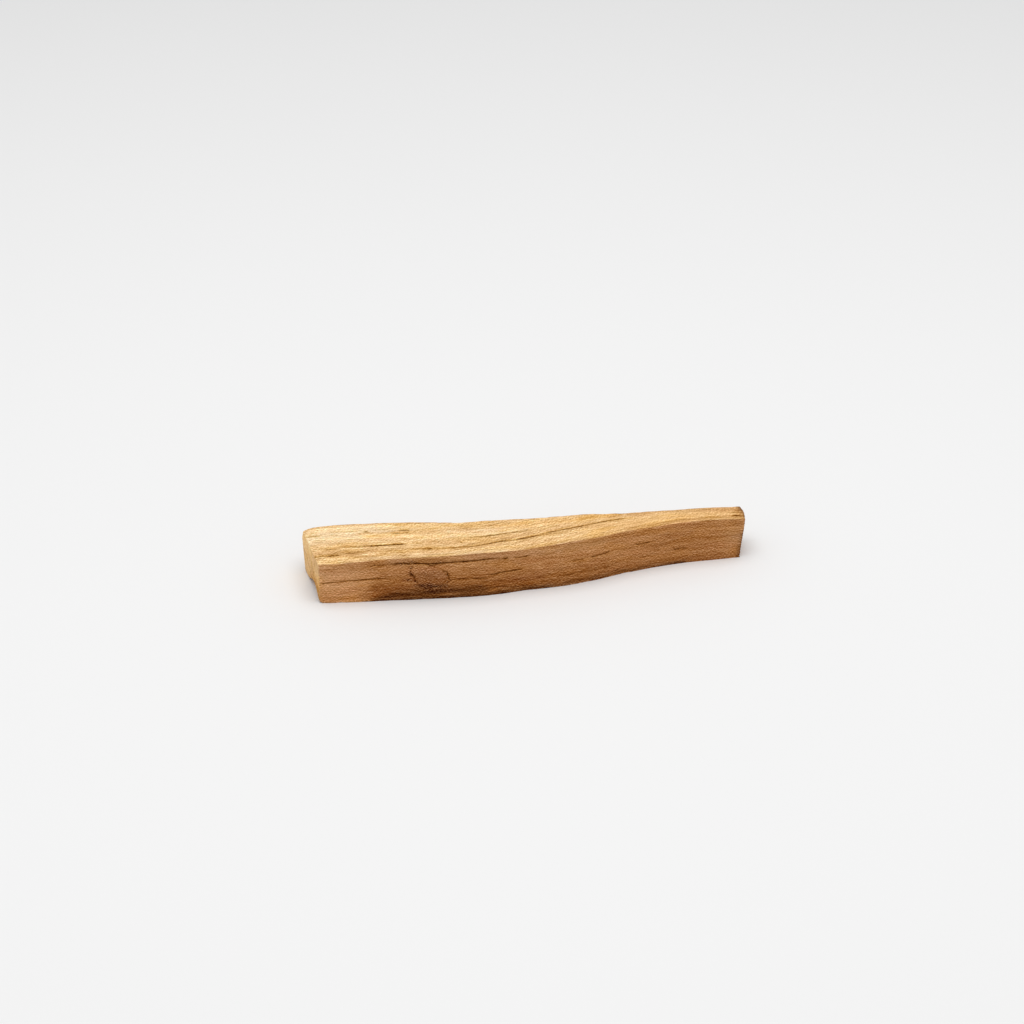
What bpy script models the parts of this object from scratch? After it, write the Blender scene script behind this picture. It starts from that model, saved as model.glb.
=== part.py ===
"""Palo santo stick: a hand-length piece of split aromatic wood, lying on its flat underside.

Units are metres with +Z up.  X runs along the stick, the front face looks to -Y.
The origin is the middle of the footprint, at the level of the surface it lies on.
The stick is one solid: a bowed, tapering, slightly twisted bar with four split faces,
two saw-cut ends, worn edges and one knot in the front face.
"""

import math

import bmesh
import bpy
from mathutils import Vector, noise

MM = 0.001

# Driving dimensions, in millimetres
LENGTH = 99.0             # along the lower front edge, between the two saw cuts
LEFT_BACK_LEAN = 3.4      # how far the back face leans outwards at the top, left end
RIGHT_BACK_LEAN = 1.0     # the same at the right end
TOP_CROWN = 0.30          # how far the middle of each split face stands proud
FRONT_CROWN = 0.12
BACK_CROWN = 0.35
WAVE_HEIGHT = 0.16        # gentle ripples that splitting leaves along the grain
WAVE_LENGTH = 13.0
WAVE_WIDTH = 4.2
UNDERSIDE_HOLLOW = 1.9    # the underside arches up at the left end and fades out
HOLLOW_REACH = 13.0
HOLLOW_MIDDLE = 5.8       # distance of the arch from the front face

# Saw cuts: how far each cut runs outwards per millimetre of depth and of height
LEFT_CUT = (-0.045, 0.000)
RIGHT_CUT = (0.180, 0.100)
CUT_FADE = 14.0           # the lean of a cut has died out this far into the stick
SAW_RIPPLE = 0.08

# The knot in the front face
KNOT_X = -24.5
KNOT_Z = 5.6
KNOT_RADIUS_X = 6.0
KNOT_RADIUS_Z = 4.0
KNOT_SWELL = 0.40

# The back upper corner at the left end is knocked off
CHIP_LENGTH = 1.3
CHIP_DEPTH = 1.0

# Worn edges: the widest bevel, and the share of it that each kind of edge gets
EDGE_WEAR = 0.95
EDGE_SEGMENTS = 2
FRONT_TOP_WEAR = 0.42
BACK_TOP_WEAR = 0.75
UNDER_WEAR = 0.28
END_WEAR = 0.45

# How finely the block is divided along, through and up the stick
STATIONS = 66
COLUMNS = 6
ROWS = 5

# The stick's shape along its length, in millimetres from the middle of the lower front edge:
# place, front face, height of the front upper edge, back upper edge, its height
SHAPE = (
    (-49.5, 0.00, 9.97, 19.20, 8.95),
    (-45.0, -0.85, 10.07, 18.75, 9.58),
    (-40.0, -1.55, 10.40, 18.10, 9.80),
    (-35.0, -2.20, 10.78, 17.25, 9.98),
    (-20.0, -4.10, 10.84, 14.00, 10.24),
    (-14.0, -4.60, 11.05, 13.05, 10.04),
    (-8.5, -4.70, 10.82, 12.30, 10.15),
    (-4.0, -4.35, 10.63, 11.70, 10.13),
    (1.0, -4.35, 10.93, 11.10, 10.16),
    (5.5, -4.35, 11.25, 10.70, 10.26),
    (10.0, -3.90, 11.24, 10.40, 10.28),
    (15.0, -3.05, 11.00, 10.12, 10.26),
    (20.0, -1.70, 10.87, 9.90, 9.84),
    (25.0, -0.95, 10.90, 9.72, 9.65),
    (30.0, -0.20, 10.65, 9.60, 9.55),
    (35.0, 0.25, 10.57, 9.48, 9.32),
    (41.0, 0.20, 10.60, 9.40, 9.16),
    (49.5, 0.00, 10.06, 9.50, 8.25),
)

# Wood colour of the stick seen from a step away, linear RGB
WOOD_COLOUR = (0.52, 0.31, 0.14, 1.0)
WOOD_ROUGHNESS = 0.72


def clear_scene():
    """Remove every object that the file opened with."""
    for obj in list(bpy.data.objects):
        bpy.data.objects.remove(obj, do_unlink=True)


def mix(a, b, share):
    """Value that lies the given share of the way from a to b."""
    return a + (b - a) * share


def ease(value):
    """Smooth step from 0 to 1."""
    value = min(max(value, 0.0), 1.0)
    return value * value * (3.0 - 2.0 * value)


def shape_at(place):
    """Front, front height, back and back height at a place, by a smooth curve through SHAPE."""
    last = len(SHAPE) - 2
    index = 0
    while index < last and SHAPE[index + 1][0] < place:
        index += 1
    before = SHAPE[max(index - 1, 0)]
    here = SHAPE[index]
    there = SHAPE[index + 1]
    after = SHAPE[min(index + 2, last + 1)]
    span = there[0] - here[0]
    share = (place - here[0]) / span
    values = []
    for column in range(1, len(here)):
        slope_here = (there[column] - before[column]) / (there[0] - before[0])
        slope_there = (after[column] - here[column]) / (after[0] - here[0])
        cube = share ** 3
        square = share ** 2
        values.append(
            (2.0 * cube - 3.0 * square + 1.0) * here[column]
            + (cube - 2.0 * square + share) * span * slope_here
            + (3.0 * square - 2.0 * cube) * there[column]
            + (cube - square) * span * slope_there
        )
    return values


def split_ripple(place, across, face):
    """Low ripple of a split face: long along the grain, short across it."""
    point = Vector((place / WAVE_LENGTH, across / WAVE_WIDTH, 7.3 * face))
    return WAVE_HEIGHT * noise.noise(point)


def knot_swell(place, height):
    """How far the wood around the knot stands out of the front face."""
    reach_x = (place - KNOT_X) / KNOT_RADIUS_X
    reach_z = (height - KNOT_Z) / KNOT_RADIUS_Z
    return KNOT_SWELL * math.exp(-(reach_x ** 2 + reach_z ** 2))


def arch(place, across):
    """How far the underside rises off the surface near the left end."""
    fade = 1.0 - ease((place + LENGTH / 2) / HOLLOW_REACH)
    offset = (across - HOLLOW_MIDDLE) / HOLLOW_MIDDLE
    return UNDERSIDE_HOLLOW * fade * max(0.0, 1.0 - offset ** 2)


def saw_cut(place, across, height):
    """How far the saw cut at the nearer end shifts this point along the stick."""
    right = place > 0.0
    cut = RIGHT_CUT if right else LEFT_CUT
    fade = 1.0 - ease((LENGTH / 2 - abs(place)) / CUT_FADE)
    shift = cut[0] * across + cut[1] * height
    ripple = noise.noise(Vector((across / 3.0, height / 2.2, 21.0 if right else 34.0)))
    return fade * (shift + SAW_RIPPLE * ripple)


def stick_point(along, through, up):
    """Point of the stick for a point of the unit block it is shaped from.

    along, through and up each run from 0 to 1: left to right, front to back, bottom to top.
    """
    place = mix(-LENGTH / 2, LENGTH / 2, along)
    front, front_height, back, back_height = shape_at(place)
    lean = mix(LEFT_BACK_LEAN, RIGHT_BACK_LEAN, along)
    under = mix(front, back - lean, through)
    over = mix(front, back, through)
    across = mix(under, over, up)
    height = up * mix(front_height, back_height, through)
    rise_through = 4.0 * through * (1.0 - through)
    rise_up = 4.0 * up * (1.0 - up)
    height += up * (TOP_CROWN * rise_through + split_ripple(place, across, 1))
    height += (1.0 - up) * arch(place, across - front)
    front_out = FRONT_CROWN * rise_up + split_ripple(place, height, 2) + knot_swell(place, height)
    back_out = BACK_CROWN * rise_up + split_ripple(place, height, 3)
    across += back_out * through * up - front_out * (1.0 - through) * ease(2.0 * up)
    place += saw_cut(place, across, height)
    return Vector((place, across, height))


def chip_corner(point):
    """Knock the back upper corner off the left end, along a slanting plane."""
    corner = stick_point(0.0, 1.0, 1.0)
    inward = Vector((point.x - corner.x, corner.y - point.y, corner.z - point.z))
    reach = inward.x / CHIP_LENGTH + inward.y / CHIP_DEPTH + inward.z / CHIP_DEPTH
    if reach < 1.0:
        push = (1.0 - reach) / 3.0
        point += Vector((push * CHIP_LENGTH, -push * CHIP_DEPTH, -push * CHIP_DEPTH))
    return point


def divided_block():
    """Unit block whose faces are divided into a regular grid of quads."""
    block = bmesh.new()
    bmesh.ops.create_cube(block, size=1.0)
    for axis, cuts in ((0, STATIONS), (1, COLUMNS - 1), (2, ROWS - 1)):
        edges = []
        for edge in block.edges:
            run = edge.verts[1].co - edge.verts[0].co
            if abs(run[axis]) > 0.5:
                edges.append(edge)
        bmesh.ops.subdivide_edges(block, edges=edges, cuts=cuts, use_grid_fill=True)
    return block


def edge_wear(edge, block_places):
    """Share of the full bevel that an edge of the block gets, 0 inside a face."""
    first, second = (block_places[vert.index] for vert in edge.verts)
    sides = [axis for axis in range(3) if abs(first[axis]) > 0.499 and first[axis] == second[axis]]
    if len(sides) < 2:
        return 0.0
    if 0 in sides:
        return END_WEAR
    if first.z < 0.0:
        return UNDER_WEAR
    wear = BACK_TOP_WEAR if first.y > 0.0 else FRONT_TOP_WEAR
    uneven = noise.noise(Vector((9.0 * first.x, first.y, 3.0)))
    return wear * (1.0 + 0.35 * uneven)


def shape_block(block):
    """Move the block's grid onto the stick and mark how far each edge is worn."""
    block.verts.index_update()
    places = [vert.co.copy() for vert in block.verts]
    wear_layer = block.edges.layers.float.new("bevel_weight_edge")
    for edge in block.edges:
        edge[wear_layer] = edge_wear(edge, places)
    for vert, place in zip(block.verts, places):
        point = stick_point(place.x + 0.5, place.y + 0.5, place.z + 0.5)
        vert.co = chip_corner(point) * MM


def stand_on_origin(block):
    """Move the shape so that the origin is the middle of its footprint."""
    low = Vector(min(vert.co[axis] for vert in block.verts) for axis in range(3))
    high = Vector(max(vert.co[axis] for vert in block.verts) for axis in range(3))
    middle = (low + high) / 2.0
    bmesh.ops.translate(block, verts=block.verts, vec=(-middle.x, -middle.y, -low.z))


def wood_material():
    """Plain pale wood."""
    material = bpy.data.materials.new("Palo santo wood")
    material.use_nodes = True
    shader = material.node_tree.nodes["Principled BSDF"]
    shader.inputs["Base Color"].default_value = WOOD_COLOUR
    shader.inputs["Roughness"].default_value = WOOD_ROUGHNESS
    shader.inputs["Metallic"].default_value = 0.0
    material.diffuse_color = WOOD_COLOUR
    return material


def build_stick(collection):
    """Shape the stick, wear its edges and place it in the collection."""
    block = divided_block()
    shape_block(block)
    stand_on_origin(block)
    bmesh.ops.recalc_face_normals(block, faces=block.faces)
    mesh = bpy.data.meshes.new("stick")
    block.to_mesh(mesh)
    block.free()
    mesh.materials.append(wood_material())
    mesh.shade_smooth()
    mesh.set_sharp_from_angle(angle=math.radians(35.0))
    stick = bpy.data.objects.new("stick", mesh)
    collection.objects.link(stick)
    worn = stick.modifiers.new("Worn edges", "BEVEL")
    worn.limit_method = "WEIGHT"
    worn.width = EDGE_WEAR * MM
    worn.segments = EDGE_SEGMENTS
    return stick


def main():
    """Build the palo santo stick in its own collection."""
    clear_scene()
    collection = bpy.data.collections.new("Palo santo stick")
    bpy.context.scene.collection.children.link(collection)
    build_stick(collection)


main()
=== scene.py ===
"""Palo santo stick: the fine surface and finish of a split and sawn piece of aromatic wood.

The stick's surface is one closed mesh laid on the solid model.  Its fibres, torn ledges, open
cracks, knot, worn edges and saw marks are carved into that mesh, and its grain follows the bow.
Lengths in the classes are in millimetres; the scene itself is in metres.
"""

from __future__ import annotations

import logging
import math
import random
from collections.abc import Callable, Sequence
from dataclasses import dataclass, replace
from enum import Enum

import bmesh
import bpy
import numpy as np
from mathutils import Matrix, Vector, noise
from mathutils.bvhtree import BVHTree

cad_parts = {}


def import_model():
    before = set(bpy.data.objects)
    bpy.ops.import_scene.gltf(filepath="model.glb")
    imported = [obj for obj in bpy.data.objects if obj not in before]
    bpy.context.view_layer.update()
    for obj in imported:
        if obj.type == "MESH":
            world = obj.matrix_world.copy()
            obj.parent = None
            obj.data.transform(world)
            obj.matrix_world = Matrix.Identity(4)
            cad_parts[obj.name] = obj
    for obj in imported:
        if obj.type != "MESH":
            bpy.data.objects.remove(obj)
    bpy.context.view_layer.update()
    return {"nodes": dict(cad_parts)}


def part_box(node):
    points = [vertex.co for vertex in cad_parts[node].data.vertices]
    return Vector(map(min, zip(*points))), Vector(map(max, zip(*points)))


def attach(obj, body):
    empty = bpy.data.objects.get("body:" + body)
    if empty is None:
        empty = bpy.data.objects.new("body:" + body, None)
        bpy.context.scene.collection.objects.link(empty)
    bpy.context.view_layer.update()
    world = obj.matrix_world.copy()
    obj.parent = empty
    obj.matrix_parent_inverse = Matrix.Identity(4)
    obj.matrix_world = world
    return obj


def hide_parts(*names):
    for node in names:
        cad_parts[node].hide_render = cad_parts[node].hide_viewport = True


LOG = logging.getLogger("palo_santo_stick")
MM = 0.001

Array = np.ndarray
Colour = tuple[float, float, float, float]
Triple = tuple[float, float, float]
Pair = tuple[float, float]
Route = tuple[Pair, ...]
Object = bpy.types.Object
Socket = bpy.types.NodeSocket


class Face(Enum):
    """The six sides of the stick, each with the direction it looks."""

    LEFT_END = (-1.0, 0.0, 0.0)
    RIGHT_END = (1.0, 0.0, 0.0)
    FRONT = (0.0, -1.0, 0.0)
    BACK = (0.0, 1.0, 0.0)
    UNDERSIDE = (0.0, 0.0, -1.0)
    TOP = (0.0, 0.0, 1.0)


class Stain(Enum):
    """What discolours the wood or paints shade on it, named as the mesh attribute that holds it."""

    # Resin and rust also carry painted shade: low on the front, under its edge and on the right end's
    # rim
    RESIN = "resin"
    AMBER = "amber"
    RUST = "rust"
    BLEACH = "bleach"
    CREAM = "cream"
    LINE = "line"


LEFT_END, RIGHT_END, FRONT, BACK, UNDERSIDE, TOP = Face
RESIN, AMBER, RUST, BLEACH, CREAM, LINE = Stain


@dataclass(frozen=True)
class Crack:
    """An open crack, drawn on one face.

    The route's points are (place along the stick, distance from the upper front edge).  On the
    ends they are (distance behind the front face, distance below the upper edge).
    """

    face: Face
    route: Route
    width: float = 0.13
    depth: float = 0.30
    dark: float = 1.0
    broken: float = 0.0
    wander: float = 0.09
    ledge: float = 0.0


@dataclass(frozen=True)
class Streak:
    """A stained streak along the grain, or a streak of painted shade, drawn on one face like a crack."""

    face: Face
    stain: Stain
    route: Route
    half_width: float
    strength: float
    fray: float = 0.45


@dataclass(frozen=True)
class Crumble:
    """A patch where bark is grown in and the wood is dark, pitted and crumbly."""

    face: Face
    middle: Pair
    reach: Pair
    strength: float = 1.0


@dataclass(frozen=True)
class Knot:
    """The knot in the front face: a place, a depth below the upper edge, and two radii."""

    place: float = -25.3
    below: float = 5.0
    radius_along: float = 4.1
    radius_across: float = 3.1

    # The groove round it, the soft edge of its own wood, and how the grain parts around it
    trough: float = 0.14
    trough_width: float = 0.25
    edge: float = 1.15
    edge_gain: float = 2.2
    squeeze: float = 0.60
    squeeze_fade: float = 0.55
    core: float = 1.1
    core_gain: float = 1.6
    end_grain: float = 6.0


@dataclass(frozen=True)
class Texture:
    """Smooth noise to carve with: its features' size on each axis, seed, layers and height.

    Every further layer is finer and weaker than the last, and shifted.  Noise along a line is
    read in rows that lie a step apart for each 1 of the seed.
    """

    size: Triple
    seed: float
    layers: int = 1
    height: float = 1.0
    finer: float = 2.03
    weaker: float = 0.5
    shift: float = 11.7
    row_step: float = 7.3

    def at(self, points: Array) -> Array:
        """Read the noise.

        Args:
            points: places, one row each.

        Returns:
            The noise at each, about 0.
        """
        scaled = points / np.asarray(self.size) + self.seed
        total = np.zeros(len(points))
        strength = 1.0
        for _ in range(self.layers):
            values = (noise.noise(Vector(point)) for point in scaled)
            total += strength * np.fromiter(values, float, len(scaled))
            scaled = scaled * self.finer + self.shift
            strength *= self.weaker
        return self.height * total

    def on_line(self, line: Array, order: float) -> Array:
        """Read the noise along a line, in a row of its own for each order.

        Args:
            line: places on the line.
            order: what is added to the seed.

        Returns:
            The noise at each place, about 0.
        """
        seed = self.seed + order
        row = np.full(len(line), self.row_step * seed)
        return replace(self, seed=seed).at(np.stack([line, row, np.zeros(len(line))], axis=1))


def ease(value: Array) -> Array:
    """Smooth step of an array from 0 to 1."""
    value = np.clip(value, 0.0, 1.0)
    return value * value * (3.0 - 2.0 * value)


def bell(places: Array, middle: Pair, reach: Pair) -> Array:
    """A smooth hump, 1 in its middle, that fades over its reach each way."""
    return np.exp(-np.sum(((places - middle) / reach) ** 2, axis=1))


def terraced(height: Array, edge: float) -> Array:
    """Level terraces instead of a slope, joined by steps that take a given share of it."""
    floor = np.floor(height)
    return floor + ease((height - floor - 0.5) / edge + 0.5)


def beside_route(places: Array, route: Route) -> tuple[Array, Array]:
    """Signed distance of each place from a route of straight runs.

    Args:
        places: two columns, along the stick and across the face.
        route: the points that the route passes through.

    Returns:
        The distance of each place, positive to the left of the route, and how far along the
        route it lies, from 0 to 1.
    """
    points = np.asarray(route, float)
    steps = np.diff(points, axis=0)
    lengths = np.linalg.norm(steps, axis=1)
    begun = np.concatenate([[0.0], np.cumsum(lengths)])
    nearest = np.full(len(places), np.inf)
    signed = np.zeros(len(places))
    share = np.zeros(len(places))
    for index, length in enumerate(lengths):
        way = steps[index] / length
        away = places - points[index]
        along = np.clip(away @ way, 0.0, length)
        distance = np.linalg.norm(away - along[:, None] * way, axis=1)
        side = np.sign(way[0] * away[:, 1] - way[1] * away[:, 0])
        closer = distance < nearest
        nearest = np.where(closer, distance, nearest)
        signed = np.where(closer, side * distance, signed)
        share = np.where(closer, (begun[index] + along) / begun[-1], share)
    return signed, share


class StickGuide:
    """The stick's outline, read from its solid by casting rays at it."""

    STEP = 0.5
    MARGIN = 1.6
    REACH = 100.0
    FRONT_UP = 0.35
    LOW_UP = 0.2
    HIGH_UP = 0.7
    FRONT_INSET = 1.0
    BACK_INSET = 1.6
    WINDOW = 7

    def __init__(self, node: Object, surface: Object) -> None:
        """Measure the solid.

        Args:
            node: the stick's solid.
            surface: a welded copy of it.
        """
        low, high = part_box(node.name)
        self.low = np.array(low) / MM
        self.high = np.array(high) / MM
        self.tree = BVHTree.FromObject(surface, bpy.context.evaluated_depsgraph_get())
        first = self.low[0] + self.MARGIN
        last = self.high[0] - 2.0 * self.MARGIN
        self.places = np.arange(first, last, self.STEP)
        height = self.high[2]
        reach = self.REACH
        self._front = self._profile(lambda x: (x, -reach, self.FRONT_UP * height), BACK)
        self._back_low = self._profile(lambda x: (x, reach, self.LOW_UP * height), FRONT)
        self._back_high = self._profile(lambda x: (x, reach, self.HIGH_UP * height), FRONT)
        self._edge = self._profile(lambda x: (x, self.front(x) + self.FRONT_INSET, reach), UNDERSIDE)
        self._back_edge = self._profile(
            lambda x: (x, self.back(x, self.HIGH_UP) - self.BACK_INSET, reach), UNDERSIDE
        )

    def _cast(self, start: Sequence[float], direction: Sequence[float]) -> Vector:
        """Where a ray from outside meets the solid, in millimetres."""
        found = self.tree.ray_cast(Vector(start) * MM, Vector(direction))[0]
        return found / MM

    def _profile(self, start_at: Callable[[float], Sequence[float]], towards: Face) -> Array:
        """Cast a row of rays at the solid.

        Args:
            start_at: where the ray starts for each place along the stick.
            towards: the face whose direction the rays take.

        Returns:
            Where the surface lies along the rays, smoothed along the stick.
        """
        axis = int(np.argmax(np.abs(towards.value)))
        values = [self._cast(start_at(x), towards.value)[axis] for x in self.places]
        padded = np.pad(values, self.WINDOW // 2, mode="edge")
        return np.convolve(padded, np.ones(self.WINDOW) / self.WINDOW, mode="valid")

    def front(self, x: Array) -> Array:
        """The front face's place across the stick."""
        return np.interp(x, self.places, self._front)

    def back(self, x: Array, up: Array) -> Array:
        """The back face's place across the stick, at shares of the height."""
        low, high = (np.interp(x, self.places, row) for row in (self._back_low, self._back_high))
        return low + (high - low) * (up - self.LOW_UP) / (self.HIGH_UP - self.LOW_UP)

    def edge(self, x: Array) -> Array:
        """The height of the upper front edge."""
        return np.interp(x, self.places, self._edge)

    def top(self, x: Array, through: Array) -> Array:
        """The top's height, at shares of the way from front to back."""
        edge = self.edge(x)
        return edge + (np.interp(x, self.places, self._back_edge) - edge) * through

    def end(self, side: Face, across: float, height: float) -> float:
        """Where an end face lies along the stick, at a place on it."""
        outwards = side.value[0]
        return self._cast((outwards * self.REACH, across, height), (-outwards, 0.0, 0.0))[0]

    def grain(self, points: Array) -> Array:
        """Straightened coordinates: along the stick, behind the front and below the upper edge."""
        x = points[:, 0]
        return np.stack([x, points[:, 1] - self.front(x), self.edge(x) - points[:, 2]], axis=1)


@dataclass
class StickSurface:
    """The stick's fine surface: a divided block laid on the solid."""

    guide: StickGuide
    knot: Knot
    stations: int = 236
    columns: int = 94
    rows: int = 70
    knot_finer: float = 1.7
    knot_reach: float = 8.0
    smoothing: int = 3
    smooth_factor: float = 0.5
    inset: float = 0.12
    samples: int = 801

    def block(self) -> Object:
        """A unit block whose faces are divided into a regular grid.

        Returns:
            The block's object, of size 1 around the origin.
        """
        deselect_all()
        bpy.ops.mesh.primitive_cube_add(size=1.0)
        piece = bpy.context.active_object
        piece.name = "stick_wood"
        piece.data.name = "stick_wood"
        for axis, parts in enumerate((self.stations, self.columns, self.rows)):
            bpy.ops.object.mode_set(mode="EDIT")
            bpy.ops.mesh.select_mode(type="EDGE")
            mesh = bmesh.from_edit_mesh(piece.data)
            for edge in mesh.edges:
                run = edge.verts[1].co - edge.verts[0].co
                edge.select_set(abs(run[axis]) > 0.5)
            mesh.select_flush_mode()
            bmesh.update_edit_mesh(piece.data)
            bpy.ops.mesh.subdivide(number_cuts=parts - 1, quadcorner="INNERVERT")
            bpy.ops.object.mode_set(mode="OBJECT")
        return piece

    def along(self, share: Array) -> Array:
        """Draw the stations closer together around the knot.

        Args:
            share: evenly spread shares of the stations.

        Returns:
            Each station's share of the length.
        """
        length = self.guide.high[0] - self.guide.low[0]
        places = np.linspace(0.0, 1.0, self.samples)
        offset = (self.guide.low[0] + places * length - self.knot.place) / self.knot_reach
        density = 1.0 + self.knot_finer * np.exp(-(offset**4))
        total = np.concatenate([[0.0], np.cumsum(0.5 * (density[1:] + density[:-1]))])
        return np.interp(share, total / total[-1], places)

    def end_face(self, side: Face, unit: Array) -> Array:
        """Place along the stick of an end face, spread from four measured points of it.

        Args:
            side: the end.
            unit: each vertex's place in the unit block.

        Returns:
            The end face's place in line with each vertex.
        """
        guide = self.guide
        x = guide.places[0] if side is LEFT_END else guide.places[-1]
        near = self.inset
        far = 1.0 - near
        met = {}
        for through in (near, far):
            for up in (near, far):
                across = guide.front(x) + through * (guide.back(x, up) - guide.front(x))
                met[through, up] = guide.end(side, across, up * guide.top(x, through))
        through = (unit[:, 1] - near) / (far - near)
        up = (unit[:, 2] - near) / (far - near)
        low = met[near, near] * (1.0 - through) + met[far, near] * through
        high = met[near, far] * (1.0 - through) + met[far, far] * through
        return low * (1.0 - up) + high * up

    def lay_on(self, piece: Object, surface: Object) -> None:
        """Bring the block to the stick's outline and lay it on the solid.

        Args:
            piece: the divided unit block.
            surface: the welded copy of the solid.
        """
        unit = read_vectors(piece, "co") + 0.5
        guide = self.guide
        left = self.end_face(LEFT_END, unit)
        right = self.end_face(RIGHT_END, unit)
        x = left + (right - left) * self.along(unit[:, 0])
        across = guide.front(x) + unit[:, 1] * (guide.back(x, unit[:, 2]) - guide.front(x))
        height = unit[:, 2] * guide.top(x, unit[:, 1])
        move_vertices(piece, np.stack([x, across, height], axis=1) * MM)
        modify(piece, "SHRINKWRAP", target=surface, wrap_method="NEAREST_SURFACEPOINT")
        modify(piece, "SMOOTH", factor=self.smooth_factor, iterations=self.smoothing)


@dataclass
class Carving:
    """Everything that is cut into the piece's surface or painted along its grain."""

    piece: Object
    guide: StickGuide
    knot: Knot
    cracks: Sequence[Crack]
    streaks: Sequence[Streak]
    crumbles: Sequence[Crumble]
    fibres: Texture = Texture((9.0, 0.38, 0.38), 2.0, 3, 0.028)
    tears: Texture = Texture((26.0, 2.2, 2.2), 4.0, 2, 2.6)
    ripples: Texture = Texture((9.0, 3.0, 3.0), 6.0, 1, 0.04)
    torn_ends: Texture = Texture((60.0, 0.45, 0.45), 15.0, 3, 0.035)
    chipped: Texture = Texture((2.4, 2.4, 2.4), 71.0, 2, 2.4)
    knot_edge: Texture = Texture((1.6, 1.6, 1.2), 81.0, 2, 0.30)
    pitted: Texture = Texture((0.7, 0.45, 0.45), 91.0, 2, 1.5)
    terrace_height: float = 0.045
    terrace_edge: float = 0.22
    nick_depth: float = 0.20
    nick_start: float = 0.35
    pit_depth: float = 0.16
    pit_start: float = -0.2
    edge_fill: float = 0.10
    foot_fill: float = 0.24

    # How sharply the faces part, the share from which a vertex counts as on one, and how soon
    # wear, the filled foot, a crack and a streak are whole
    face_power: int = 4
    least_share: float = 0.02
    wear_gain: float = 2.4
    foot_gain: float = 7.0
    crack_gain: float = 2.0
    streak_gain: float = 1.6

    # The saw's marks: height, pitch, curve, unevenness, and each end's slant and seed
    saw_height: float = 0.030
    saw_pitch: float = 0.62
    saw_curve: float = 0.012
    saw_wobble: Texture = Texture((1.3, 1.0, 1.0), 0.0, 1, 3.0)
    left_saw: Pair = (0.35, 3.0)
    right_saw: Pair = (-0.55, 8.0)

    # The right end's crown and the left end's hollow: size, middle and reach of each
    crown_height: float = 0.30
    crown_middle: Pair = (4.5, 0.0)
    crown_reach: Pair = (3.2, 5.0)
    hollow_depth: float = 0.60
    hollow_middle: Pair = (-51.0, 5.5)
    hollow_reach: Pair = (3.5, 4.0)
    hollow_height: float = 3.0
    hollow_top: float = 1.6

    # How cracks wander, how their width varies and where they are broken off
    wandering: Texture = Texture((1.1, 1.0, 1.0), 5.0, 2)
    wander_slant: float = 0.7
    wander_along: float = 0.4
    widening: Texture = Texture((1.7, 1.0, 1.0), 9.0, 1, 0.4)
    breaking: Texture = Texture((1.5, 1.0, 1.0), 31.0, 2, 2.2)

    # Cracks' tips and grooves, and how far from a crack it is worked out and shown, the last
    # two in its widths
    tip_gain: float = 8.0
    tip_width: float = 0.45
    tip_depth: float = 0.2
    groove: float = 0.15
    ledge_fade: float = 1.2
    crack_margin: float = 2.5
    shown: float = 3.4
    farthest: float = 4.0

    # Streaks fray along the grain, each from a seed of its own
    frayed: Texture = Texture((4.0, 0.5, 1.0), 51.0, 2)
    fray_step: float = 2.0

    # The flecks of the finish are counted behind and up
    flecks_behind: float = 1.95
    flecks_up: float = 3.5

    # Where the bow makes the grain lines drift back, and where the top grows calmer
    drift: float = 3.1
    drift_start: float = -18.0
    drift_length: float = 35.0
    calm_start: float = 2.0
    calm_length: float = 16.0

    def __post_init__(self) -> None:
        """Work out, for every vertex, what the carving goes by.

        That is its place, how much it belongs to each face, its grain coordinates, how near it
        is to a rounded edge, and its distance from the knot's middle, 1 on the knot's rim.
        """
        self.points = read_vectors(self.piece, "co") / MM
        self.normals = read_vectors(self.piece, "normal")
        looks = {face: np.clip(self.normals @ np.array(face.value), 0.0, 1.0) for face in Face}
        total = sum(look**self.face_power for look in looks.values())
        self.faces = {face: look**self.face_power / total for face, look in looks.items()}
        self.grain = self.guide.grain(self.points)
        self.along, self.behind, self.below = self.grain.T
        strongest = np.max(np.stack(list(self.faces.values())), axis=0)
        self.wear = ease((1.0 - strongest) * self.wear_gain)
        along = (self.along - self.knot.place) / self.knot.radius_along
        across = (self.below - self.knot.below) / self.knot.radius_across
        self.from_knot = np.sqrt(along**2 + across**2)

    def drawn_places(self, face: Face) -> Array:
        """Every vertex's two coordinates on a face's drawing."""
        columns = {LEFT_END: (1, 2), RIGHT_END: (1, 2), FRONT: (0, 2), BACK: (0, 2)}
        return self.grain[:, columns.get(face, (0, 1))]

    def open_cracks(self) -> tuple[Array, Array, Array]:
        """Work out every crack at every vertex.

        Returns:
            The relief that the cracks make, the distance from the nearest crack as a share of
            its width (negative on one side, positive on the other), and its darkness.
        """
        count = len(self.points)
        relief = np.zeros(count)
        side = np.full(count, self.farthest)
        dark = np.zeros(count)
        for order, crack in enumerate(self.cracks):
            places = self.drawn_places(crack.face)
            on_face = self.faces[crack.face]
            low = np.array(crack.route).min(axis=0) - self.crack_margin
            high = np.array(crack.route).max(axis=0) + self.crack_margin
            near = np.all((places > low) & (places < high), axis=1) & (on_face > self.least_share)
            if near.any():
                cut, ratio, kept = self.open_crack(order, crack, places[near], on_face[near])
                relief[near] += cut
                shown = crack.dark * kept * ease(self.shown - np.abs(ratio))
                closer = (shown > 0.0) & (np.abs(ratio) < np.abs(side[near]))
                side[near] = np.where(closer, ratio, side[near])
                dark[near] = np.where(closer, shown, dark[near])
        return relief, side, dark

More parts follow.
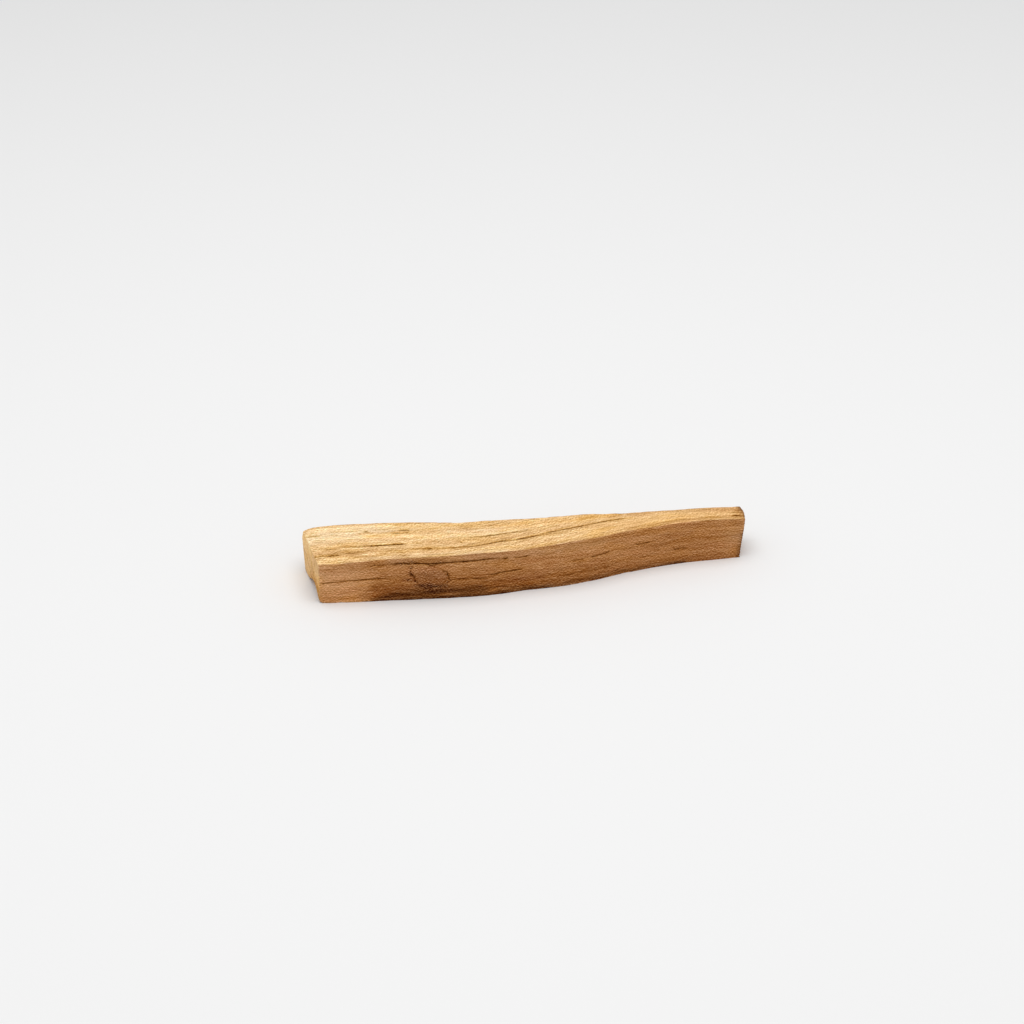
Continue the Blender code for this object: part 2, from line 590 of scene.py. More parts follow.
    def open_crack(
        self, order: int, crack: Crack, places: Array, on_face: Array
    ) -> tuple[Array, Array, Array]:
        """Work out one crack at the vertices near it.

        Args:
            order: the crack's number, which sets how it wanders.
            crack: the crack.
            places: the vertices' places on its face's drawing.
            on_face: how much each of them belongs to that face.

        Returns:
            Its relief, the signed distance from it as a share of its width, and how much of it
            is left open.
        """
        along = places[:, 0] + self.wander_slant * places[:, 1]
        wander = crack.wander * self.wandering.on_line(along, order)
        moved = places + np.stack([self.wander_along * wander, wander], axis=1)
        distance, share = beside_route(moved, crack.route)
        taper = ease(np.minimum(share, 1.0 - share) * self.tip_gain)
        width = crack.width * (1.0 + self.widening.on_line(along, order))
        width *= self.tip_width + (1.0 - self.tip_width) * taper
        kept = 1.0 - crack.broken * ease(0.5 + self.breaking.on_line(along, order))
        kept *= ease(self.crack_gain * on_face) * (self.tip_depth + (1.0 - self.tip_depth) * taper)
        relief = -crack.depth * kept * np.exp(-((distance / max(self.groove, crack.width)) ** 2))
        fade = np.exp(-np.abs(distance) / self.ledge_fade) * taper
        relief += 0.5 * crack.ledge * fade * np.tanh(distance / self.groove)
        return relief, np.clip(distance / width, -self.farthest, self.farthest), kept

    def stains(self) -> dict[str, Array]:
        """Paint the streaks, the stains and the painted shade alike.

        Returns:
            How strongly each stain shows at each vertex, from 0 to 1, by the stain's attribute.
        """
        stains = {stain.value: np.zeros(len(self.points)) for stain in Stain}
        for order, streak in enumerate(self.streaks):
            places = self.drawn_places(streak.face)
            distance, _ = beside_route(places, streak.route)
            flat = np.pad(places, ((0, 0), (0, 1)))
            seed = self.frayed.seed + self.fray_step * order
            frayed = replace(self.frayed, seed=seed, height=streak.fray)
            shown = ease(1.0 - np.abs(distance) / streak.half_width + frayed.at(flat))
            shown *= streak.strength * ease(self.streak_gain * self.faces[streak.face])
            stains[streak.stain.value] = np.maximum(stains[streak.stain.value], shown)
        return stains

    def bark(self) -> Array:
        """Work out where bark is grown in.

        Returns:
            How much of it there is at each vertex.
        """
        held = np.zeros(len(self.points))
        for patch in self.crumbles:
            near = bell(self.drawn_places(patch.face), patch.middle, patch.reach)
            near *= ease(self.crack_gain * self.faces[patch.face])
            held = np.maximum(held, patch.strength * near)
        return held

    def cut(self) -> None:
        """Carve the relief into the piece and store the grain and the marks on its mesh."""
        ends = self.faces[LEFT_END] + self.faces[RIGHT_END]
        foot = ease(self.foot_gain * self.faces[FRONT] * self.faces[UNDERSIDE])
        from_rim = (self.from_knot - 1.0) / self.knot.trough_width
        crack_relief, crack_side, crack_dark = self.open_cracks()
        bark = self.bark()
        relief = (1.0 - ends) * self.split_relief() + self.end_relief() + crack_relief
        relief += self.wear * (self.edge_fill - self.nicks()) + self.foot_fill * foot
        relief -= self.knot.trough * self.faces[FRONT] * np.exp(-(from_rim**2))
        relief -= self.pit_depth * bark * ease(self.pitted.at(self.grain) - self.pit_start)
        carved = self.points + self.normals * relief[:, None]
        carved[:, 2] = np.maximum(carved[:, 2] + self.hollow(), 0.0)
        move_vertices(self.piece, carved * MM)
        calm = ease((self.along - self.calm_start) / self.calm_length)
        flowing = self.flowing()
        marks = {
            **self.stains(),
            "crack_side": crack_side,
            "crack_dark": crack_dark,
            "bark": bark,
            "knot": self.knot_wood(),
            "tone": self.tone(),
            "end_grain": ends,
            "calm": self.faces[TOP] * calm,
            "wear": self.wear * (1.0 - foot),
            "grain": flowing,
            "girth": self.girth(flowing),
        }
        for name, values in marks.items():
            write_attribute(self.piece, name, values)

    def split_relief(self) -> Array:
        """Height of the fibres, ledges and ripples that splitting left along the grain."""
        ledges = self.terrace_height * terraced(self.tears.at(self.grain), self.terrace_edge)
        return self.fibres.at(self.grain) + self.ripples.at(self.grain) + ledges

    def end_relief(self) -> Array:
        """Work out how the two ends are sawn.

        Returns:
            Height of the saw's marks, the torn fibres and the right end's crown.
        """
        torn = self.torn_ends.at(self.grain)
        crown = self.crown_height * bell(self.grain[:, 1:], self.crown_middle, self.crown_reach)
        left = self.faces[LEFT_END] * (self.saw_marks(*self.left_saw) + torn)
        return left + self.faces[RIGHT_END] * (self.saw_marks(*self.right_saw) + torn + crown)

    def saw_marks(self, slant: float, seed: float) -> Array:
        """Work out the slightly curved marks of a saw.

        Args:
            slant: how steeply they run across the end.
            seed: seed of their unevenness.

        Returns:
            Their height.
        """
        across = self.below + slant * self.behind + self.saw_curve * self.behind**2
        turns = across * math.tau / self.saw_pitch + self.saw_wobble.on_line(across, seed)
        return self.saw_height * np.sin(turns)

    def hollow(self) -> Array:
        """How much further the underside is hollowed where it leaves the left end."""
        depth = self.hollow_depth * bell(self.grain[:, :2], self.hollow_middle, self.hollow_reach)
        return depth * ease(self.hollow_top - self.points[:, 2] / self.hollow_height)

    def nicks(self) -> Array:
        """Depth of the small chips along the worn edges."""
        return self.nick_depth * ease(self.chipped.at(self.points) - self.nick_start)

    def knot_wood(self) -> Array:
        """Where the knot's own wood shows, from 0 to 1."""
        inside = self.knot.edge - self.from_knot + self.knot_edge.at(self.grain)
        return self.faces[FRONT] * ease(inside * self.knot.edge_gain)

    def flowing(self) -> Array:
        """Grain coordinates for the finish.

        Returns:
            The coordinates, bent so that the grain lines part around the knot and drift back
            where the stick's bow cuts across them.
        """
        knot = self.knot
        front = self.faces[FRONT]
        core = front * ease(knot.core_gain * (knot.core - self.from_knot))
        along = self.along + (self.along - knot.place) * knot.end_grain * core
        behind = self.behind - self.drift * ease((self.along - self.drift_start) / self.drift_length)
        pull = knot.squeeze * np.exp(-knot.squeeze_fade * self.from_knot**2) * front
        below = self.below - pull * (self.below - knot.below)
        return np.stack([along, behind, below], axis=1)

    def girth(self, flowing: Array) -> Array:
        """Count the finish's flecks round the stick, on over the back upper edge.

        Args:
            flowing: grain coordinates for the finish.

        Returns:
            The count at each vertex.
        """
        height = self.points[:, 2]
        unfolded = 2.0 * self.guide.top(self.points[:, 0], np.ones(len(height))) - height
        height = height + (unfolded - height) * self.faces[BACK]
        return self.flecks_behind * flowing[:, 1] + self.flecks_up * height

    def tone(self) -> Array:
        """How pale each side of the stick is, from 0, brown, to 1, cream; the front's and the right
        end's darkness is partly painted shade.
        """
        # The front's 0 holds the painted shade of neighbouring sticks, the right end's 0.22 the painted
        # shade of its turned-away rim
        paleness = {TOP: 1.0, FRONT: 0.0, BACK: 0.55, UNDERSIDE: 0.35, LEFT_END: 1.0, RIGHT_END: 0.22}
        return sum(paleness[face] * weight for face, weight in self.faces.items())


class Value:
    """A socket that carries a number, with operators that add Math nodes."""

    def __init__(self, bench: Bench, socket: Socket) -> None:
        """Wrap a socket of the bench's node tree."""
        self.bench = bench
        self.socket = socket

    def _math(self, operation: str, *others: Value | float) -> Value:
        """Add a Math node whose first input is this value.

        Args:
            operation: the node's operation.
            others: its other inputs, values or plain numbers.

        Returns:
            The node's result.
        """
        inputs = dict(enumerate((self, *others)))
        made = self.bench.node("ShaderNodeMath", {"operation": operation}, inputs)
        return Value(self.bench, made.outputs[0])

    def __add__(self, other: Value | float) -> Value:
        """Sum."""
        return self._math("ADD", other)

    __radd__ = __add__

    def __mul__(self, other: Value | float) -> Value:
        """Product."""
        return self._math("MULTIPLY", other)

    __rmul__ = __mul__

    def __sub__(self, other: Value | float) -> Value:
        """Difference."""
        return self._math("SUBTRACT", other)

    def __rsub__(self, other: float) -> Value:
        """A plain number less this value."""
        return self._math("MULTIPLY_ADD", -1.0, other)

    def __abs__(self) -> Value:
        """Size without its sign."""
        return self._math("ABSOLUTE")

    def root(self) -> Value:
        """Square root."""
        return self._math("SQRT")


class Space(Enum):
    """The coordinates that a pattern of the finish follows."""

    GRAIN = "the mesh's stored grain coordinates, in millimetres"
    OBJECT = "the object's own coordinates, in metres"


@dataclass(frozen=True)
class Weave:
    """A noise of the finish: features on each axis, detail, roughness and coordinates."""

    scale: Triple
    detail: float = 1.0
    roughness: float = 0.5
    space: Space = Space.GRAIN


# Settings of nodes: a product, and a step that is smooth and stops at 0 and 1
PRODUCT = {"operation": "MULTIPLY"}
SMOOTH_STEP = {"interpolation_type": "SMOOTHSTEP", "clamp": True}


class Bench:
    """One material, its node tree, and the few kinds of node that a finish needs."""

    def __init__(self, name: str) -> None:
        """Start a material that has nothing but its shader.

        Args:
            name: the material's name.
        """
        self.material = bpy.data.materials.new(name)
        self.material.use_nodes = True
        self.tree = self.material.node_tree
        self.tree.nodes.clear()
        self.shader = self.tree.nodes.new("ShaderNodeBsdfPrincipled")
        output = self.tree.nodes.new("ShaderNodeOutputMaterial")
        self.tree.links.new(self.shader.outputs["BSDF"], output.inputs["Surface"])

    def put(self, node: bpy.types.Node, inputs: dict[str | int, object]) -> None:
        """Link a value to each input of a node, or set the input's own number or colour.

        Args:
            node: the node.
            inputs: a value, colour or link for each input, by name or number.
        """
        for name, value in inputs.items():
            if isinstance(value, Value):
                value = value.socket
            if isinstance(value, Socket):
                self.tree.links.new(value, node.inputs[name])
            else:
                node.inputs[name].default_value = value

    def node(
        self, kind: str, settings: dict[str, object], inputs: dict[str | int, object]
    ) -> bpy.types.Node:
        """Add a node.

        Args:
            kind: the node's type.
            settings: its properties.
            inputs: a value, colour or link for each input, by name or number.

        Returns:
            The node.
        """
        made = self.tree.nodes.new(kind)
        for name, setting in settings.items():
            setattr(made, name, setting)
        self.put(made, inputs)
        return made

    def attribute(self, name: str) -> Value:
        """A number stored on the mesh."""
        return Value(self, self.node("ShaderNodeAttribute", {"attribute_name": name}, {}).outputs["Fac"])

    def place(self, space: Space) -> Socket:
        """Add the coordinates that a pattern follows.

        Args:
            space: which coordinates.

        Returns:
            The vector's socket.
        """
        if space is Space.OBJECT:
            return self.node("ShaderNodeTexCoord", {}, {}).outputs["Object"]
        return self.node("ShaderNodeAttribute", {"attribute_name": "grain"}, {}).outputs["Vector"]

    def axis(self, space: Space, name: str) -> Value:
        """One of the coordinates."""
        inputs = {"Vector": self.place(space)}
        return Value(self, self.node("ShaderNodeSeparateXYZ", {}, inputs).outputs[name])

    def weighed(self, base: float, **weights: float) -> Value:
        """A base number plus numbers stored on the mesh, each with its weight."""
        return sum((weight * self.attribute(name) for name, weight in weights.items()), base)

    def noise(
        self, where: dict[str, object], detail: float, roughness: float, axes: str = "3D"
    ) -> Value:
        """Add smooth noise.

        Args:
            where: the input that says where it is read, a vector or a number.
            detail: how many finer layers it has.
            roughness: how strong they are.
            axes: on how many axes it varies.

        Returns:
            The noise, from 0 to 1.
        """
        inputs = {**where, "Scale": 1.0, "Detail": detail, "Roughness": roughness}
        made = self.node("ShaderNodeTexNoise", {"noise_dimensions": axes}, inputs)
        return Value(self, made.outputs["Fac"])

    def woven(self, weave: Weave) -> Value:
        """Smooth noise over the grain or the object, from 0 to 1."""
        scaled = self.node("ShaderNodeVectorMath", PRODUCT, {0: self.place(weave.space), 1: weave.scale})
        return self.noise({"Vector": scaled.outputs["Vector"]}, weave.detail, weave.roughness)

    def step(self, value: Value, low: float, high: float) -> Value:
        """Smooth step of a value, from 0 at low to 1 at high."""
        inputs = {"Value": value, "From Min": low, "From Max": high}
        return Value(self, self.node("ShaderNodeMapRange", SMOOTH_STEP, inputs).outputs["Result"])

    def mix(self, share: Value | float, first: object, second: object, blend: str = "MIX") -> Socket:
        """The first colour, changed by the second as far as the share and the blend say."""
        settings = {"data_type": "RGBA", "blend_type": blend, "clamp_factor": True}
        return self.node("ShaderNodeMix", settings, {0: share, 6: first, 7: second}).outputs[2]

    def cast(self, colour: object, *casts: tuple[Value | float, Colour]) -> Socket:
        """Multiply a colour by one cast after another.

        Args:
            colour: the colour.
            casts: how much of each cast shows, and the cast.

        Returns:
            The changed colour.
        """
        for share, cast in casts:
            colour = self.mix(share, colour, cast, "MULTIPLY")
        return colour


def seen(red: float, green: float, blue: float, light: float = 1.0) -> Colour:
    """Linear colour of a surface that shows as these screen values where the light is this strong."""
    shares = [((value / 255.0 + 0.055) / 1.055) ** 2.4 / light for value in (red, green, blue)]
    return (*shares, 1.0)


class PaloSantoFinish(Bench):
    """Raw palo santo: pale cream where it was split last, brown where resin has darkened it, with
    painted shade in the front's brown.
    """

    pale: Colour = seen(237, 194, 138, 1.07)
    # The front's brown, with the shade of neighbouring sticks painted into it
    brown: Colour = seen(166, 115, 69, 0.80)
    # Dark resin, also painted as contact shade low on the front and under its edge, and as the right
    # end's rim shade
    resin: Colour = seen(80, 38, 2)
    # The dark of the open cracks' painted shade, also given to the bark's crumbs
    gap_shade: Colour = seen(66, 20, 0)

    # Casts that a colour is multiplied by
    gold: Colour = (1.0, 0.96, 0.82, 1.0)
    blush: Colour = (1.0, 0.965, 0.95, 1.0)
    amber: Colour = (0.98, 0.88, 0.66, 1.0)
    # Rust also paints shade: the front darker downward and the right end's top rim
    rust: Colour = (0.68, 0.56, 0.38, 1.0)
    line: Colour = (0.62, 0.42, 0.26, 1.0)
    bleached: Colour = (1.25, 1.28, 1.30, 1.0)
    cream: Colour = (1.0, 1.12, 1.40, 1.0)
    knot: Colour = (0.84, 0.78, 0.78, 1.0)
    halo: Colour = (0.47, 0.33, 0.08, 1.0)
    rim: Colour = (1.0, 0.95, 0.70, 1.0)

    # Noises along the grain, in features a millimetre
    lines: Weave = Weave((0.045, 1.1, 1.1), 3.0, 0.6)
    fibres: Weave = Weave((0.25, 3.4, 3.4), 3.0, 0.65)
    threads: Weave = Weave((0.30, 2.9, 5.6))
    pore_field: Weave = Weave((0.50, 5.5, 5.5))
    pore_patches: Weave = Weave((0.06, 0.5, 0.5))
    ring_wander: Weave = Weave((0.030, 0.14, 0.14), 2.0)
    patches: Weave = Weave((0.10, 0.42, 0.42), 3.0)

    # Noises in place, in features a metre
    fuzz: Weave = Weave((2000.0, 1650.0, 3000.0), 2.0, 0.70, Space.OBJECT)
    grit: Weave = Weave((2600.0, 2600.0, 3000.0), space=Space.OBJECT)
    flecks_along: float = 2100.0

    # How far the grit crumbles a crack's edge, its darkness, and the bark
    edge_grit: float = 2.0
    dark_grit: float = 1.6
    bark_grit: float = 4.0

    # Fibres and fuzz stand up, and pores and gaps go down, by these shares of the bump's height
    fibre_bump: float = 0.8
    fuzz_bump: float = 0.8
    pore_bump: float = 0.5
    gap_bump: float = 0.8
    bump_height: float = 0.00006
    bump_strength: float = 0.8

    # How much of the halo, the gap's painted shade or the bleach shows where its mark is full
    pore_cast: float = 0.35
    bark_cast: float = 0.35
    crumb_colour: float = 0.85
    wear_cast: float = 0.3

    # Where each mark begins and where it is full
    gold_step: Pair = (0.48, 0.62)
    blush_step: Pair = (0.50, 0.36)
    ring_step: Pair = (0.32, 0.66)
    pore_step: Pair = (0.80, 0.88)
    rim_step: Pair = (3.4, 1.8)
    halo_step: Pair = (2.2, 0.8)
    gap_step: Pair = (1.0, 0.3)
    open_step: Pair = (0.35, 0.90)
    crumb_step: Pair = (0.85, 1.20)
    bark_step: Pair = (0.05, 0.25)

    pith_behind: float = 34.0
    pith_below: float = 58.0
    ring_pitch: float = 0.9
    ring_shift: float = 4.0
    gamma: float = 2.2
    contrast: float = 0.74
    specular: float = 0.04
    roughness: float = 0.70
    fuzz_roughness: float = 0.25

    def build(self) -> bpy.types.Material:
        """Make the material.

        Returns:
            The wood, whose grain runs along the mesh's stored grain coordinates.
        """
        fibres = self.woven(self.fibres)
        fuzz = self.woven(self.fuzz)
        pores = self.pores()
        colour = self.stained(1.5 - fibres, self.split_wood())
        colour = self.shaded(colour, self.texture(self.strands(fibres), fuzz))
        colour = self.cast(colour, (self.pore_cast * pores, self.halo))
        colour, gaps = self.cracked(self.woven(self.grit) - 0.5, colour)
        height = self.fibre_bump * fibres + self.fuzz_bump * fuzz
        height = height - self.pore_bump * pores - self.gap_bump * gaps
        bump = {"Strength": self.bump_strength, "Distance": self.bump_height, "Height": height}
        rough = self.fuzz_roughness * (fuzz - 0.5) + self.weighed(self.roughness, resin=-0.08)
        surface = {
            "Base Color": colour,
            "Roughness": rough,
            "Specular IOR Level": self.specular,
            "Normal": self.node("ShaderNodeBump", {}, bump).outputs["Normal"],
        }
        self.put(self.shader, surface)
        return self.material

    def strands(self, fibres: Value) -> Value:
        """Mix the lines that run along the grain.

        Args:
            fibres: noise of the fibres.

        Returns:
            How much lighter or darker they make the wood, about 0.
        """
        threads = self.woven(self.threads) - 0.5
        lines = self.woven(self.lines) - 0.5
        strands = self.weighed(0.30, tone=0.22, knot=-0.25, cream=-0.05) * (fibres - 0.5)
        strands = self.weighed(0.34, tone=0.16, knot=-0.25, cream=-0.05) * threads + strands
        strands = self.weighed(0.13, tone=0.20) * lines + strands
        return self.weighed(1.0, end_grain=-0.5) * strands

    def texture(self, strands: Value, fuzz: Value) -> Value:
        """Mix everything that makes the wood lighter or darker at a close look.

        Args:
            strands: the lines along the grain.
            fuzz: fine noise in place.

        Returns:
            The change, about 0.
        """
        end_grain = self.attribute("end_grain")
        speckle = (1.0 - end_grain) * self.speckle() + 0.5 * end_grain * (fuzz - 0.5)
        rings = self.weighed(0.10, end_grain=0.03) * (self.rings() - 0.5)
        rough = self.weighed(0.76, knot=0.05, cream=-0.14, bark=0.90)
        return self.contrast * (self.weighed(1.0, calm=-0.22) * (strands + rings + rough * speckle))

    def shaded(self, colour: Socket, change: Value) -> Socket:
        """Lighten or darken a colour by the same step in all three screen channels.

        Args:
            colour: the colour.
            change: the step.

        Returns:
            The changed colour.
        """
        to_screen = {"Color": colour, "Gamma": 1.0 / self.gamma}
        shown = self.node("ShaderNodeGamma", {}, to_screen).outputs["Color"]
        settings = {"data_type": "RGBA", "blend_type": "ADD", "clamp_result": True}
        added = self.node("ShaderNodeMix", settings, {0: 1.0, 6: shown, 7: change}).outputs[2]
        return self.node("ShaderNodeGamma", {}, {"Color": added, "Gamma": self.gamma}).outputs["Color"]

    def speckle(self) -> Value:
        """Show the ends of the finest fibres.

        Returns:
            Noise less its own shifted copy, about 0.
        """
        along = self.flecks_along * self.axis(Space.OBJECT, "X")
        girth = self.attribute("girth")
        layers = []
        for shift in (0.0, 1.0):
            spot = self.node("ShaderNodeCombineXYZ", {}, {"X": along, "Y": girth + shift})
            layers.append(self.noise({"Vector": spot.outputs["Vector"]}, 2.0, 0.6, "2D"))
        return layers[0] - 0.5 * layers[1] - 0.25

    def rings(self) -> Value:
        """Show the growth rings around the tree's distant pith.

        Returns:
            The rings, from 0 to 1.
        """
        behind = self.axis(Space.GRAIN, "Y") - self.pith_behind
        below = self.axis(Space.GRAIN, "Z") - self.pith_below
        radius = (behind * behind + below * below).root()
        radius = radius + self.ring_shift * self.woven(self.ring_wander)
        return self.step(self.noise({"W": self.ring_pitch * radius}, 3.0, 0.6, "1D"), *self.ring_step)

    def pores(self) -> Value:
        """Short open pores along the grain, 1 inside a pore."""
        field = self.woven(self.pore_field) + 0.35 * self.woven(self.pore_patches)
        return self.step(field, *self.pore_step)

    def split_wood(self) -> Socket:
        """Mix the pale and the brown of the wood by the mesh's tone, which also paints shade on the
        front and the right end.

        Returns:
            The wood's colour, with that painted shade.
        """
        colour = self.mix(self.attribute("tone"), self.brown, self.pale)
        patches = self.woven(self.patches)
        gold = self.step(patches, *self.gold_step)
        return self.cast(colour, (gold, self.gold), (self.step(patches, *self.blush_step), self.blush))

    def stained(self, soak: Value, colour: Socket) -> Socket:
        """The colour after the stains, most of them broken up by the fibres they soaked into; the rust
        and the resin also paint shade.

        Args:
            soak: how well the fibres take up a stain.
            colour: the bare wood.

        Returns:
            The stained colour.
        """
        # The rust cast also paints shade: the front darker downward and the right end's rim
        colour = self.cast(
            colour,
            (self.attribute("bleach"), self.bleached),
            (self.attribute("cream"), self.cream),
            (self.attribute("amber") * soak, self.amber),
            (self.attribute("rust") * soak, self.rust),
            (self.attribute("line") * soak, self.line),
            (self.attribute("knot"), self.knot),
        )
        # The resin mix also paints contact shade low on the front and under its edge, and the right
        # end's rim shade
        colour = self.mix(self.attribute("resin") * soak, colour, self.resin)
        return self.cast(colour, (self.wear_cast * self.attribute("wear"), self.bleached))

    def cracked(self, grit: Value, colour: Socket) -> tuple[Socket, Value]:
        """The colour with its cracks and grown-in bark, painted shade filling the cracks' openings and
        part of the bark's crumbs.

        Args:
            grit: noise about 0 that crumbles the cracks' edges and the bark.
            colour: the wood around them.

        Returns:
            The colour, and how open the wood is, from 0 to 1.
        """
        side = abs(self.attribute("crack_side")) + self.edge_grit * grit
        dark = self.attribute("crack_dark")
        gap_shade = self.step(side, *self.gap_step)
        gap_shade = gap_shade * self.step(dark + self.dark_grit * grit, *self.open_step)
        bark = self.attribute("bark")
        crumbs = self.step(bark + self.bark_grit * grit, *self.crumb_step)
        crumbs = crumbs * self.step(bark, *self.bark_step)
        colour = self.cast(
            colour,
            (self.bark_cast * bark, self.halo),
            (self.step(side, *self.rim_step) * dark, self.rim),
            (self.step(side, *self.halo_step) * dark, self.halo),
        )
        # Dark crumbs of bark, partly painted shade of their pits; then the open cracks' painted shade
        colour = self.mix(self.crumb_colour * crumbs, colour, self.gap_shade)
        return self.mix(gap_shade, colour, self.gap_shade), gap_shade + crumbs


class FloorFinish(Bench):
    """A plain pale matt floor."""

    colour: Colour = (0.86, 0.86, 0.86, 1.0)
    worn: Colour = (0.84, 0.84, 0.84, 1.0)
    unevenness: Weave = Weave((3.0, 3.0, 3.0), 2.0, space=Space.OBJECT)
    roughness: float = 0.9
    specular: float = 0.1

    def build(self) -> bpy.types.Material:
        """Make the material, with the faintest unevenness in its paint.

        Returns:
            The floor's paint.
        """
        surface = {
            "Base Color": self.mix(self.woven(self.unevenness), self.colour, self.worn),
            "Roughness": self.roughness,
            "Specular IOR Level": self.specular,
        }
        self.put(self.shader, surface)
        return self.material


@dataclass
class Studio:
    """The camera, the floor and the soft light above it."""

    camera_place: Triple = (-0.129240, -0.561742, 0.320290)
    azimuth: float = -12.5588
    elevation: float = 28.0
    lens: float = 100.0
    sensor: float = 36.0
    nearest: float = 0.01
    farthest: float = 40.0
    floor_size: float = 12.0
    light_place: Triple = (-0.01, -0.05, 0.75)
    light_size: float = 0.80
    light_power: float = 3.3
    world_strength: float = 0.62
    world_colour: Colour = (1.0, 1.0, 1.0, 1.0)

    def add_camera(self) -> None:
        """Place the camera where the photograph was taken from."""
        data = bpy.data.cameras.new("camera")
        data.lens = self.lens
        data.sensor_width = self.sensor
        data.clip_start = self.nearest
        data.clip_end = self.farthest
        camera = bpy.data.objects.new("camera", data)
        camera.location = self.camera_place
        camera.rotation_euler = (math.radians(90.0 - self.elevation), 0.0, math.radians(self.azimuth))
        bpy.context.scene.collection.objects.link(camera)
        bpy.context.scene.camera = camera

    def add_floor(self) -> None:
        """Lay the floor under the stick."""
        deselect_all()
        bpy.ops.mesh.primitive_plane_add(size=self.floor_size)
        floor = bpy.context.active_object
        floor.name = "floor"
        floor.data.materials.append(FloorFinish("pale_floor").build())

    def add_light(self) -> None:
        """Hang one large soft light, aimed at the stick, and light the air around it."""
        data = bpy.data.lights.new("soft_light", "AREA")
        data.shape = "DISK"
        data.size = self.light_size
        data.energy = self.light_power
        light = bpy.data.objects.new("soft_light", data)
        light.location = self.light_place
        light.rotation_euler = (-Vector(self.light_place)).to_track_quat("-Z", "Y").to_euler()
        bpy.context.scene.collection.objects.link(light)
        world = bpy.data.worlds.new("studio")
        world.use_nodes = True
        background = world.node_tree.nodes["Background"]
        background.inputs["Color"].default_value = self.world_colour
        background.inputs["Strength"].default_value = self.world_strength
        bpy.context.scene.world = world
        bpy.context.scene.view_settings.view_transform = "Standard"

    def build(self) -> None:
        """Set up the whole studio."""
        self.add_camera()
        self.add_floor()
        self.add_light()


# Cracks: route, width, depth, darkness, share broken off, wander and ledge.  A crack's place in
# the list sets how it wanders, and a streak's place sets how its edges fray
FRONT_CRACKS = (
    # Under the upper edge, from the left end on
    (((-49.8, 1.65), (-46, 1.4), (-42, 1.45)), 0.15, 0.08, 0.3, 0.3),
    (((-42, 1.45), (-38.5, 1.45), (-35.5, 1.6), (-32.8, 1.5)), 0.15, 0.16, 0.5, 0.5),
    (((-34, 1.6), (-31.9, 1.35), (-31, 1.5), (-29.3, 1.5)), 0.12, 0.3, 0.8, 0.4, 0.14),
    (((-29.8, 1.45), (-28.3, 1.5), (-27, 1.7), (-25.2, 1.9)), 0.12, 0.3, 0.9, 0.2, 0.1),
    (((-25.9, 2.15), (-25, 2.25), (-23.9, 2.3)), 0.12, 0.2, 0.75, 0.2, 0.05),
    (((-26.2, 1.8), (-23.6, 1.85), (-21.8, 1.75), (-19.5, 1.75), (-16.6, 1.85)), 0.12, 0.35, 0.82, 0.1,
     0.05),
    (((-19, 1.85), (-15.5, 1.9), (-13, 1.8), (-10.2, 1.5)), 0.12, 0.4, 0.74),
    (((-9.4, 1.75), (-8.2, 1.8), (-7.2, 1.8)), 0.17, 0.26, 1, 0.1),
    (((-6.4, 1.85), (-4.5, 1.85), (-2.1, 1.85)), 0.12, 0.2, 0.9, 0.3),
    (((-1.2, 2.05), (1.5, 2.25), (3, 2.4)), 0.1, 0.1, 0.35, 0.6),
    # From the left end to the knot
    (((-50.6, 5.15), (-48, 4.85), (-45, 4.7), (-42, 4.7)), 0.12, 0.3, 0.62, 0.1, 0.06),
    (((-42.8, 4.7), (-38.5, 4.85), (-35.8, 4.95)), 0.12, 0.26, 0.75, 0.1, 0.05),
    (((-36.4, 4.95), (-33.5, 4.9), (-31.8, 4.85)), 0.11, 0.12, 0.4, 0.5),
    (((-39, 7), (-37, 7.05), (-35.6, 6.95), (-34.5, 6.5), (-33, 6.2)), 0.12, 0.12, 0.5, 0.4),
    # Down the knot's left side and its right side
    (((-29.7, 3.2), (-29.9, 4), (-29.3, 4.6)), 0.1, 0.3, 0.85, 0.5, 0.22),
    (((-29.6, 4.3), (-29.1, 4.9), (-28.9, 5.5), (-28.7, 6.3)), 0.1, 0.3, 0.9, 0.25, 0.18),
    (((-22.9, 3.5), (-22.2, 3.85), (-21.5, 4.15)), 0.09, 0.24, 0.85, 0.2, 0.14),
    (((-21.6, 3.9), (-21.5, 4.8), (-21.3, 5.3), (-21.2, 6.4)), 0.09, 0.34, 0.95, 0.15, 0.16),
    # On from the knot
    (((-21.5, 6.45), (-20.1, 6.15), (-18, 6.2), (-16.5, 6.3)), 0.11, 0.24, 0.68, 0.25),
    (((-16.8, 6.4), (-15, 6.4), (-11.8, 6.5)), 0.13, 0.24, 0.8, 0.2),
    (((-12.6, 5.65), (-10.5, 5.65), (-9, 5.3), (-7, 5.15), (-4, 5)), 0.13, 0.28, 0.85, 0.15),
    (((-14, 7.5), (-11.5, 7.3), (-9, 7.4)), 0.12, 0.12, 0.45, 0.5),
    # Short ones on the narrow half
    (((6.3, 5), (8, 5.05), (10.8, 5)), 0.12, 0.18, 0.75, 0.3),
    (((11.9, 4.95), (14, 4.7), (15.5, 4.55), (17.2, 4.4)), 0.12, 0.24, 0.85, 0.2),
    (((17.6, 4.35), (20, 4.2), (22, 4)), 0.1, 0.12, 0.4, 0.4),
    (((23, 3.95), (25, 3.85), (27.5, 3.75)), 0.13, 0.16, 0.78, 0.3),
    (((4.5, 8.6), (8.1, 8.4), (12, 8.4), (17.5, 8.3)), 0.12, 0.12, 0.5, 0.5),
    (((31.6, 6.95), (34, 6.75), (36.5, 6.85)), 0.14, 0.12, 0.75, 0.3),
    (((33, 3.75), (38, 3.8)), 0.11, 0.1, 0.4, 0.5),
    (((24, 7.4), (28.5, 7.5)), 0.11, 0.1, 0.35, 0.5),
)
